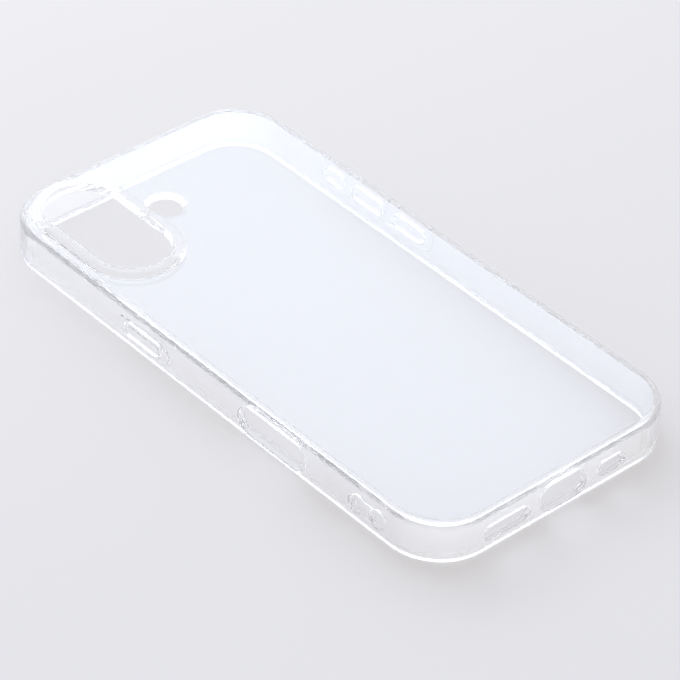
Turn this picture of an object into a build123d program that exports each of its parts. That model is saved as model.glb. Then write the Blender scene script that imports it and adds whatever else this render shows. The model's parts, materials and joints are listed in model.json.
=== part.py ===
from build123d import *
import os

# Clear protective case for a 6.1 inch phone, lying on its open side with the back panel up.
# X runs across the case (camera at -X), Y along it (camera end at +Y), Z up through the back.
# Origin: middle of the footprint, on the plane that the screen-side rim rests on. Millimetres.

# Phone that the case holds
PHONE_WIDTH = 71.6
PHONE_LENGTH = 147.6
PHONE_THICKNESS = 7.8
PHONE_CORNER = 12.0

# Shell
FIT_GAP = 0.1             # clearance between phone and pocket, each side
WALL = 1.7                # soft side wall
LIP_HEIGHT = 1.2          # rim that stands proud of the screen
LIP_REACH = 0.9           # how far the rim laps over the screen's edge
PANEL_THICKNESS = 1.75    # rigid back panel
PANEL_RIM_DEPTH = 0.85    # top layer of the panel, inset where the soft frame laps over its edge
PANEL_RIM_INSET = 0.3
BACK_EDGE_ROUND = 1.8
RIM_EDGE_ROUND = 0.8

POCKET_WIDTH = PHONE_WIDTH + 2 * FIT_GAP
POCKET_LENGTH = PHONE_LENGTH + 2 * FIT_GAP
POCKET_CORNER = PHONE_CORNER + FIT_GAP
CASE_WIDTH = POCKET_WIDTH + 2 * WALL
CASE_LENGTH = POCKET_LENGTH + 2 * WALL
CASE_CORNER = POCKET_CORNER + WALL
PANEL_BOTTOM = LIP_HEIGHT + PHONE_THICKNESS + FIT_GAP
CASE_HEIGHT = PANEL_BOTTOM + PANEL_THICKNESS
PANEL_STEP = CASE_HEIGHT - PANEL_RIM_DEPTH
MID_BAND = 5.0            # height of the middle of the phone's side band

# Camera opening and its guard ring
CAMERA_X, CAMERA_Y = -22.7, 52.65
CAMERA_WIDTH = 18.8
CAMERA_LENGTH = 36.3
RING_WALL = 2.3
RING_RISE = 1.15          # above the back panel
RING_SLOPE = 1.0          # width of the ring's sloping foot
RING_PLUG_INSET = 0.4     # the part of the ring inside the panel is this much slimmer
RING_OUTER_ROUND = 1.8    # the top rolls over into the sloping foot
RING_INNER_ROUND = 0.4
RING_FLARE = 0.8          # the opening widens towards the phone
PLUG_WIDTH = CAMERA_WIDTH + 2 * (RING_WALL - RING_PLUG_INSET)
PLUG_LENGTH = CAMERA_LENGTH + 2 * (RING_WALL - RING_PLUG_INSET)
FOOT_WIDTH = CAMERA_WIDTH + 2 * (RING_WALL + RING_SLOPE)
FOOT_LENGTH = CAMERA_LENGTH + 2 * (RING_WALL + RING_SLOPE)

# Flash and microphone hole, countersunk from the outside
FLASH_X, FLASH_Y = -6.4, 51.55
FLASH_RADIUS = 4.15
FLASH_RIM_RADIUS = 4.9
FLASH_FLARE = 0.45        # the hole widens towards the phone

# Button pads: side of the case, middle along Y, length
PAD_HEIGHT = 3.4
PAD_GAP = 0.25            # clearance all round a pad
PAD_ROUND = 0.3
SIDE_REACH = 0.7          # how far pads stand out from the side wall
BUTTONS = {
    "power_button": (-1, 21.1, 12.6),
    "action_button": (1, 39.9, 6.6),
    "volume_up_button": (1, 28.2, 10.8),
    "volume_down_button": (1, 13.9, 10.8),
}

# Raised mouldings around the pads
POWER_MOULDING_RISE = 0.35
POWER_MOULDING_LENGTH = 18.4
POWER_MOULDING_HEIGHT = 5.8
VOLUME_MOULDING_RISE = 0.5
VOLUME_MOULDING_Y = 25.65
VOLUME_MOULDING_LENGTH = 38.7
VOLUME_MOULDING_HEIGHT = 7.8
VOLUME_MOULDING_Z = 5.8
VOLUME_MOULDING_CORNER = 2.4
MOULDING_ROUND = 0.3

# Openings through the side walls
CONTROL_Y = -22.9         # cut-out for the touch-sensitive camera control
CONTROL_LENGTH = 22.2
CONTROL_HEIGHT = 6.9
CONTROL_Z = 4.75
LANYARD_RADIUS = 2.3
LANYARD_Z = 4.8
LANYARD_YS = (-50.7, -57.3)
LANYARD_CHANNEL_DEPTH = 0.7
LANYARD_CHANNEL_HEIGHT = 3.0
PORT_X, PORT_Z = 0.1, 4.9
PORT_WIDTH = 13.4
PORT_HEIGHT = 7.0
PORT_CORNER = 3.3
GRILLE_Z = 4.6
GRILLE_HEIGHT = 3.6
GRILLES = ((-16.4, 13.2), (14.75, 7.9))   # microphone side and loudspeaker side: middle, length

OPENING_ROUND = 0.3       # outer edge of every opening that a finger, plug or cord goes into
SIDE_CUT = 6.0            # depth of a cutter that passes right through a side wall


def pill(plane, centre, length, height):
    """Stadium outline on a plane, long way along the plane's first axis."""
    with BuildSketch(plane) as outline:
        with Locations(centre):
            SlotOverall(length, height)
    return outline.sketch


def upright_pill(height_z, width, length):
    """Stadium outline around the camera axis, long way along Y."""
    with BuildSketch(Plane.XY.offset(height_z)) as outline:
        with Locations((CAMERA_X, CAMERA_Y)):
            SlotOverall(length, width, rotation=90)
    return outline.sketch


def rounded_plate(height_z, width, length, corner):
    """Rounded rectangle about the Z axis."""
    with BuildSketch(Plane.XY.offset(height_z)) as outline:
        RectangleRounded(width, length, corner)
    return outline.sketch


def side_plane(side, x):
    """Plane across X at distance x on one side, its first axis along Y and second along Z."""
    return Plane.YZ.offset(side * x)


with BuildPart() as bumper_frame:
    extrude(rounded_plate(0, CASE_WIDTH, CASE_LENGTH, CASE_CORNER), amount=CASE_HEIGHT)
    fillet(bumper_frame.edges().group_by(Axis.Z)[-1], BACK_EDGE_ROUND)
    fillet(bumper_frame.edges().group_by(Axis.Z)[0], RIM_EDGE_ROUND)

    # cut-out for the camera control and the two lanyard holes, on the power pad's side
    power_side, power_y, _ = BUTTONS["power_button"]
    power_wall = side_plane(power_side, CASE_WIDTH / 2 + WALL)
    extrude(pill(power_wall, (CONTROL_Y, CONTROL_Z), CONTROL_LENGTH, CONTROL_HEIGHT),
            amount=SIDE_CUT, mode=Mode.SUBTRACT)
    with BuildSketch(power_wall):
        with Locations(*[(y, LANYARD_Z) for y in LANYARD_YS]):
            Circle(LANYARD_RADIUS)
    extrude(amount=SIDE_CUT, mode=Mode.SUBTRACT)
    fillet([wire.edges() for wire in bumper_frame.faces().sort_by(Axis.X)[0].inner_wires()],
           OPENING_ROUND)

    # charging port and grilles in the bottom wall
    with BuildSketch(Plane.XZ.offset(CASE_LENGTH / 2 + WALL)):
        with Locations((PORT_X, PORT_Z)):
            RectangleRounded(PORT_WIDTH, PORT_HEIGHT, PORT_CORNER)
        for grille_x, grille_length in GRILLES:
            with Locations((grille_x, GRILLE_Z)):
                SlotOverall(grille_length, GRILLE_HEIGHT)
    extrude(amount=-SIDE_CUT, mode=Mode.SUBTRACT)
    fillet([wire.edges() for wire in bumper_frame.faces().sort_by(Axis.Y)[0].inner_wires()],
           OPENING_ROUND)

    # raised moulding under the power pad
    extrude(
        pill(side_plane(power_side, CASE_WIDTH / 2 - WALL / 2), (power_y, MID_BAND),
             POWER_MOULDING_LENGTH, POWER_MOULDING_HEIGHT),
        amount=power_side * (WALL / 2 + POWER_MOULDING_RISE),
    )
    fillet(bumper_frame.faces().sort_by(Axis.X)[0].edges(), MOULDING_ROUND)

    # raised moulding under the action and volume pads
    with BuildSketch(side_plane(1, CASE_WIDTH / 2 - WALL)):
        with Locations((VOLUME_MOULDING_Y, VOLUME_MOULDING_Z)):
            RectangleRounded(VOLUME_MOULDING_LENGTH, VOLUME_MOULDING_HEIGHT, VOLUME_MOULDING_CORNER)
    extrude(amount=WALL + VOLUME_MOULDING_RISE)
    fillet(bumper_frame.faces().sort_by(Axis.X)[-1].edges(), MOULDING_ROUND)

    # pocket for the phone, the opening for the screen, and the mouth that holds the panel
    extrude(
        rounded_plate(LIP_HEIGHT, POCKET_WIDTH, POCKET_LENGTH, POCKET_CORNER),
        amount=PANEL_STEP - LIP_HEIGHT, mode=Mode.SUBTRACT,
    )
    extrude(
        rounded_plate(PANEL_STEP, POCKET_WIDTH - 2 * PANEL_RIM_INSET,
                      POCKET_LENGTH - 2 * PANEL_RIM_INSET, POCKET_CORNER - PANEL_RIM_INSET),
        amount=PANEL_RIM_DEPTH, mode=Mode.SUBTRACT,
    )
    extrude(
        rounded_plate(0, POCKET_WIDTH - 2 * LIP_REACH, POCKET_LENGTH - 2 * LIP_REACH,
                      POCKET_CORNER - LIP_REACH),
        amount=LIP_HEIGHT, mode=Mode.SUBTRACT,
    )

    # shallow channel inside the wall, so that a cord can pass from one lanyard hole to the other
    with BuildSketch(side_plane(power_side, POCKET_WIDTH / 2 + LANYARD_CHANNEL_DEPTH)):
        with Locations((sum(LANYARD_YS) / 2, LANYARD_Z)):
            Rectangle(LANYARD_YS[0] - LANYARD_YS[1], LANYARD_CHANNEL_HEIGHT)
    extrude(amount=LANYARD_CHANNEL_DEPTH + FIT_GAP, mode=Mode.SUBTRACT)

    # openings that the button pads travel in
    for side, pad_y, pad_length in BUTTONS.values():
        extrude(
            pill(side_plane(side, CASE_WIDTH / 2 - 2 * WALL), (pad_y, MID_BAND),
                 pad_length + 2 * PAD_GAP, PAD_HEIGHT + 2 * PAD_GAP),
            amount=side * SIDE_CUT, mode=Mode.SUBTRACT,
        )
bumper_frame.part.label = "bumper_frame"


with BuildPart() as back_panel:
    extrude(
        rounded_plate(PANEL_BOTTOM, POCKET_WIDTH, POCKET_LENGTH, POCKET_CORNER),
        amount=PANEL_STEP - PANEL_BOTTOM,
    )
    extrude(
        rounded_plate(PANEL_STEP, POCKET_WIDTH - 2 * PANEL_RIM_INSET,
                      POCKET_LENGTH - 2 * PANEL_RIM_INSET, POCKET_CORNER - PANEL_RIM_INSET),
        amount=PANEL_RIM_DEPTH,
    )
    extrude(upright_pill(PANEL_BOTTOM, PLUG_WIDTH, PLUG_LENGTH), amount=PANEL_THICKNESS,
            mode=Mode.SUBTRACT)
    with Locations((FLASH_X, FLASH_Y, CASE_HEIGHT)):
        CounterSinkHole(radius=FLASH_RADIUS, counter_sink_radius=FLASH_RIM_RADIUS,
                        depth=PANEL_THICKNESS, counter_sink_angle=90)
    hole_wires = back_panel.faces().sort_by(Axis.Z)[0].inner_wires()
    chamfer(hole_wires.sort_by(SortBy.LENGTH)[0].edges(), FLASH_FLARE)
back_panel.part.label = "back_panel"


with BuildPart() as camera_ring:
    extrude(upright_pill(PANEL_BOTTOM, PLUG_WIDTH, PLUG_LENGTH), amount=PANEL_THICKNESS)
    extrude(upright_pill(CASE_HEIGHT, FOOT_WIDTH, FOOT_LENGTH), amount=RING_RISE)
    chamfer(camera_ring.edges().group_by(Axis.Z)[-1], RING_SLOPE)
    fillet(camera_ring.edges().group_by(Axis.Z)[-1], RING_OUTER_ROUND)
    extrude(upright_pill(PANEL_BOTTOM, CAMERA_WIDTH, CAMERA_LENGTH),
            amount=PANEL_THICKNESS + RING_RISE, mode=Mode.SUBTRACT)
    inner_top = camera_ring.faces().sort_by(Axis.Z)[-1].inner_wires()[0]
    fillet(inner_top.edges(), RING_INNER_ROUND)
    inner_bottom = camera_ring.faces().sort_by(Axis.Z)[0].inner_wires()[0]
    chamfer(inner_bottom.edges(), RING_FLARE)
    # the flash hole's rim bites into the ring's foot
    with BuildSketch(Plane.XY.offset(CASE_HEIGHT)):
        with Locations((FLASH_X, FLASH_Y)):
            Circle(FLASH_RIM_RADIUS)
    extrude(amount=RING_RISE, mode=Mode.SUBTRACT)
camera_ring.part.label = "camera_ring"


button_pads = []
for name, (side, pad_y, pad_length) in BUTTONS.items():
    with BuildPart() as pad:
        extrude(
            pill(side_plane(side, POCKET_WIDTH / 2), (pad_y, MID_BAND), pad_length, PAD_HEIGHT),
            amount=side * (WALL + SIDE_REACH),
        )
        outer_face = pad.faces().sort_by(Axis.X)[-1 if side > 0 else 0]
        fillet(outer_face.edges(), PAD_ROUND)
    pad.part.label = name
    button_pads.append(pad.part)


os.makedirs("parts", exist_ok=True)
for piece in (bumper_frame.part, back_panel.part, camera_ring.part, *button_pads):
    export_step(piece, f"parts/{piece.label}.step")
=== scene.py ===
import json
import math

import bpy
from mathutils import Matrix, Vector


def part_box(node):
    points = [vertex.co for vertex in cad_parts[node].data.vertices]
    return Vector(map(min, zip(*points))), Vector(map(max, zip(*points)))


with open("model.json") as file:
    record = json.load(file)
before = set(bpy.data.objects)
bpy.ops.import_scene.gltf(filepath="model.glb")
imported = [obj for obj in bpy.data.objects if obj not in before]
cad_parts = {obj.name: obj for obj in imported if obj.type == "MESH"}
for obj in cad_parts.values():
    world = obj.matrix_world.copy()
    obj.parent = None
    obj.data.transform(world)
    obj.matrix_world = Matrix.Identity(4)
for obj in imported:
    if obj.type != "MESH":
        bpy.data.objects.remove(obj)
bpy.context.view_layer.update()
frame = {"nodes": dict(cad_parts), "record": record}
NODES = frame["nodes"]
MM = 0.001

# Camera: a long lens that looks down on the case from beyond its port end.
AZIMUTH = math.radians(-43.107)
ELEVATION = math.radians(38.262)
ROLL = math.radians(2.778)
LENS_MM = 192.16
SENSOR_MM = 36.0
DISTANCE = 0.8251
TARGET = Vector((1.259, -1.858, 0.0)) * MM

# Where the pieces are bonded to each other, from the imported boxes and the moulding's step sizes.
PANEL_LOW, PANEL_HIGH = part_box("back_panel")
PANEL_CORNER = 12.1 * MM
STEP_INSET = 0.3 * MM
RING_LOW, RING_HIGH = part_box("camera_ring")
RING_MIDDLE = (RING_LOW + RING_HIGH) / 2
RING_HALF_WIDTH = (RING_HIGH.x - RING_LOW.x) / 2
RING_HALF_LENGTH = (RING_HIGH.y - RING_LOW.y) / 2
FOOT_REACH = 1.4 * MM      # how far the ring's foot reaches out over the panel
FACET = 0.05 * MM          # how far a curved wall's facets may lie from its true curve
TINY = 0.005 * MM

# Plastic
LONGEST_PATH = 5           # bounces after which light caught inside the plastic is let out
CLOUD_COLOUR = (0.97, 0.975, 0.99)
GLOSS_SPREAD = 0.4         # share by which the roughness varies over the surface
WAVE_DETAIL = 2.0
WAVE_STRENGTH = 0.3

# Studio
FLOOR_SIZE = 6.0
FLOOR_GAP = 0.05 * MM      # air under the rim, so that the rim and the floor stay two surfaces
FLOOR_COLOUR = (0.625, 0.612, 0.615)
FLOOR_ROUGHNESS = 0.9
FLOOR_SPECULAR = 0.1
WINDOW = Vector((0.54, 0.57, 0.62)).normalized()    # where the studio's soft light is brightest
WINDOW_EDGE = 0.6          # cosine of the angle from the window at which the light starts to rise


def add_camera():
    back = Vector((
        math.sin(AZIMUTH) * math.cos(ELEVATION),
        -math.cos(AZIMUTH) * math.cos(ELEVATION),
        math.sin(ELEVATION),
    ))
    level = Vector((0, 0, 1)).cross(back).normalized()
    upright = back.cross(level)
    right = level * math.cos(ROLL) + upright * math.sin(ROLL)
    up = upright * math.cos(ROLL) - level * math.sin(ROLL)
    data = bpy.data.cameras.new("camera")
    data.lens = LENS_MM
    data.sensor_width = SENSOR_MM
    data.clip_start = 0.01
    data.clip_end = 20
    camera = bpy.data.objects.new("camera", data)
    bpy.context.scene.collection.objects.link(camera)
    turn = Matrix((right, up, back)).transposed().to_4x4()
    camera.matrix_world = Matrix.Translation(TARGET + back * DISTANCE) @ turn
    bpy.context.scene.camera = camera


class Tree:
    """A material's or world's node tree, emptied, with short calls to add and link nodes."""

    def __init__(self, owner):
        owner.use_nodes = True
        self.owner = owner
        self.nodes = owner.node_tree.nodes
        self.links = owner.node_tree.links
        self.nodes.clear()

    def add(self, kind, inputs=None, **values):
        node = self.nodes.new("ShaderNode" + kind)
        for key, value in values.items():
            setattr(node, key, value)
        for key, value in (inputs or {}).items():
            self.put(value, node.inputs[key])
        return node

    def put(self, value, socket):
        """Links another node's output to a socket, or sets the socket to a plain value."""
        if isinstance(value, bpy.types.NodeSocket):
            self.links.new(value, socket)
        else:
            socket.default_value = value

    def math(self, operation, *values):
        return self.add("Math", dict(enumerate(values)), operation=operation).outputs[0]

    def parts(self, vector):
        """A vector's x, y and z."""
        return self.add("SeparateXYZ", {0: vector}).outputs

    def all_of(self, *tests):
        found = tests[0]
        for test in tests[1:]:
            found = self.math("MULTIPLY", found, test)
        return found

    def any_of(self, *tests):
        found = tests[0]
        for test in tests[1:]:
            found = self.math("MAXIMUM", found, test)
        return found

    def blend(self, share, first, second):
        """The first colour where share is 0, the second where it is 1."""
        node = self.add("Mix", {0: share, 6: (*first, 1), 7: (*second, 1)}, data_type="RGBA")
        return node.outputs[2]

    def mix(self, share, first, second):
        """The first shader where share is 0, the second where it is 1."""
        return self.add("MixShader", {0: share, 1: first, 2: second}).outputs[0]

    def box_distance(self, x, y, half_x, half_y, corner):
        """Distance outside a rounded rectangle about the origin, below 0 inside it."""
        out_x = self.math("SUBTRACT", self.math("ABSOLUTE", x), half_x - corner)
        out_y = self.math("SUBTRACT", self.math("ABSOLUTE", y), half_y - corner)
        beyond_x = self.math("MAXIMUM", out_x, 0.0)
        beyond_y = self.math("MAXIMUM", out_y, 0.0)
        squares = self.math("ADD", self.math("MULTIPLY", beyond_x, beyond_x),
                            self.math("MULTIPLY", beyond_y, beyond_y))
        within = self.math("MINIMUM", self.math("MAXIMUM", out_x, out_y), 0.0)
        return self.math("SUBTRACT", self.math("ADD", self.math("SQRT", squares), within), corner)


def bonded(tree):
    """1 where two pieces are moulded onto each other, so that light sees no surface there."""
    x, y, z = tree.parts(tree.add("NewGeometry").outputs["Position"])
    above_seat = tree.math("GREATER_THAN", z, PANEL_LOW.z + TINY)

    panel_edge = tree.box_distance(x, y, PANEL_HIGH.x, PANEL_HIGH.y, PANEL_CORNER)
    seam = tree.all_of(
        tree.math("GREATER_THAN", panel_edge, -STEP_INSET - FACET),
        tree.math("LESS_THAN", panel_edge, FACET),
        above_seat,
        tree.math("LESS_THAN", z, PANEL_HIGH.z - TINY),
    )

    foot_edge = tree.box_distance(
        tree.math("SUBTRACT", x, RING_MIDDLE.x),
        tree.math("SUBTRACT", y, RING_MIDDLE.y),
        RING_HALF_WIDTH, RING_HALF_LENGTH, RING_HALF_WIDTH,
    )
    plug_wall = tree.all_of(
        tree.math("COMPARE", foot_edge, -FOOT_REACH, FACET),
        above_seat,
        tree.math("LESS_THAN", z, PANEL_HIGH.z + TINY),
    )
    under_foot = tree.all_of(
        tree.math("GREATER_THAN", foot_edge, -FOOT_REACH - FACET),
        tree.math("LESS_THAN", foot_edge, -TINY),
        tree.math("COMPARE", z, PANEL_HIGH.z, TINY),
    )
    return tree.any_of(seam, plug_wall, under_foot)


def moulded_surface(tree, colour, ior, roughness, haze, wave_size, wave_depth):
    """Glossy, a little cloudy, and faintly uneven as a moulding's surface is."""
    ripple = tree.add("TexNoise", {
        "Vector": tree.add("TexCoord").outputs["Object"],
        "Scale": 1 / wave_size,
        "Detail": WAVE_DETAIL,
    }).outputs["Fac"]
    bump = tree.add("Bump", {"Strength": WAVE_STRENGTH, "Distance": wave_depth, "Height": ripple})
    gloss = tree.add("MapRange", {
        "Value": ripple,
        "To Min": roughness * (1 - GLOSS_SPREAD),
        "To Max": roughness * (1 + GLOSS_SPREAD),
    })
    plastic = tree.add("BsdfPrincipled", {
        "Base Color": (*colour, 1),
        "Transmission Weight": 1.0,
        "IOR": ior,
        "Roughness": gloss.outputs[0],
        "Normal": bump.outputs[0],
    })
    cloud = tree.add("BsdfTranslucent", {"Color": (*CLOUD_COLOUR, 1)})
    return tree.mix(haze, plastic.outputs[0], cloud.outputs[0])


def straight_light(tree, shade, light_shade):
    """Lets light straight through, less what real plastic bends away.

    Painted shade, set by place: upright walls take the darker shade at the port end; level faces
    and the camera end take light_shade.
    """
    surface = tree.add("NewGeometry").outputs
    towards_camera_end = tree.add("MapRange", {
        "Value": tree.parts(surface["Position"])[1],
        "From Min": PANEL_LOW.y,
        "From Max": PANEL_HIGH.y,
    }).outputs[0]
    level = tree.math("ABSOLUTE", tree.parts(surface["True Normal"])[2])
    # painted shade: the shadow tint is set by place, darker through upright walls at the port end
    # and lighter at the camera end and through level faces
    tint = tree.blend(tree.math("MAXIMUM", towards_camera_end, level), shade, light_shade)
    return tree.add("BsdfTransparent", {"Color": tint}).outputs[0]


def clear_plastic(name, shade, light_shade, **surface):
    """Clear plastic with a moulded surface, through which light reaches what lies behind."""
    tree = Tree(bpy.data.materials.new(name))
    body = moulded_surface(tree, **surface)

    # light on its way to what lies behind goes straight through, and so does light caught inside
    path = tree.add("LightPath").outputs
    goes_straight = tree.any_of(
        path["Is Shadow Ray"],
        path["Is Diffuse Ray"],
        tree.math("GREATER_THAN", path["Ray Depth"], LONGEST_PATH),
    )
    lit = tree.mix(goes_straight, body, straight_light(tree, shade, light_shade))
    unseen = tree.add("BsdfTransparent").outputs[0]
    tree.add("OutputMaterial", {"Surface": tree.mix(bonded(tree), lit, unseen)})
    return tree.owner


def soft_plastic():
    return clear_plastic(
        "clear_soft_plastic",
        # painted shade: a darker, warmer shadow tint for the upright walls at the port end
        shade=(0.8, 0.77, 0.74),
        light_shade=(0.98, 0.98, 0.98),
        colour=(0.98, 0.98, 0.985),
        ior=1.48,
        roughness=0.18,
        haze=0.12,
        wave_size=12 * MM,
        wave_depth=0.012 * MM,
    )


def polished_plastic():
    return clear_plastic(
        "clear_polished_plastic",
        shade=(0.96, 0.96, 0.96),
        light_shade=(0.96, 0.96, 0.96),
        colour=(0.985, 0.985, 0.99),
        ior=1.48,
        roughness=0.03,
        haze=0.03,
        wave_size=12 * MM,
        wave_depth=0.01 * MM,
    )


def rigid_plastic():
    return clear_plastic(
        "clear_rigid_plastic",
        shade=(0.98, 0.98, 0.98),
        light_shade=(0.992, 0.992, 0.992),
        colour=(0.96, 0.978, 1.0),
        ior=1.5,
        roughness=0.03,
        haze=0.015,
        wave_size=25 * MM,
        wave_depth=0.02 * MM,
    )


def wear(node, material):
    """Gives a CAD node its finish."""
    for slot in NODES[node].material_slots:
        slot.material = material


def dress_case():
    """Soft plastic for the frame and pads, rigid for the panel, polished for the ring."""
    soft = soft_plastic()
    polished = polished_plastic()
    rigid = rigid_plastic()
    for part in frame["record"]["subparts"]:
        wear(part["node"], rigid if part["material_slot"] == "clear_rigid" else soft)
    wear("camera_ring", polished)


def add_floor():
    bpy.ops.mesh.primitive_plane_add(size=FLOOR_SIZE, location=(0, 0, -FLOOR_GAP))
    floor = bpy.context.object
    floor.name = "floor"
    tree = Tree(bpy.data.materials.new("pale_floor"))
    paint = tree.add("BsdfPrincipled", {
        "Base Color": (*FLOOR_COLOUR, 1),
        "Roughness": FLOOR_ROUGHNESS,
        "Specular IOR Level": FLOOR_SPECULAR,
    })
    tree.add("OutputMaterial", {"Surface": paint.outputs[0]})
    floor.data.materials.append(tree.owner)


def add_sky(dim, bright):
    """Light from all round, which rises softly towards the window."""
    world = bpy.data.worlds.new("studio")
    bpy.context.scene.world = world
    tree = Tree(world)
    towards_window = tree.add("VectorMath", {
        0: tree.add("TexCoord").outputs["Generated"],
        1: WINDOW,
    }, operation="DOT_PRODUCT").outputs["Value"]
    rise = tree.add("MapRange", {
        "Value": towards_window,
        "From Min": WINDOW_EDGE,
        "From Max": 1.0,
    }, interpolation_type="SMOOTHSTEP").outputs[0]
    light = tree.add("Background", {"Color": tree.blend(rise, dim, bright)})
    tree.add("OutputWorld", {"Surface": light.outputs[0]})


def add_lamp(name, place, size, power):
    """A soft square lamp that points at the middle of the case and isn't seen in its gloss."""
    data = bpy.data.lights.new(name, "AREA")
    data.size = size
    data.energy = power
    lamp = bpy.data.objects.new(name, data)
    bpy.context.scene.collection.objects.link(lamp)
    turn = (-place).to_track_quat("-Z", "Y").to_matrix().to_4x4()
    lamp.matrix_world = Matrix.Translation(place) @ turn
    lamp.visible_glossy = False
    lamp.visible_transmission = False
    lamp.visible_camera = False


def allow_long_paths(scene):
    """Enough bounces for light that crosses both of the case's walls."""
    scene.cycles.max_bounces = 16
    scene.cycles.transmission_bounces = 16
    scene.cycles.glossy_bounces = 8
    scene.cycles.transparent_max_bounces = 64


add_camera()
add_floor()
add_sky(dim=(0.81, 0.82, 0.845), bright=(1.75, 1.845, 2.01))
add_lamp("key", place=Vector((0.05, 0.85, 0.52)), size=0.45, power=3.6)
add_lamp("fill", place=Vector((0.9, 1.7, 1.0)), size=0.8, power=9.5)
dress_case()
allow_long_paths(bpy.context.scene)
bpy.context.scene.view_settings.view_transform = "Standard"
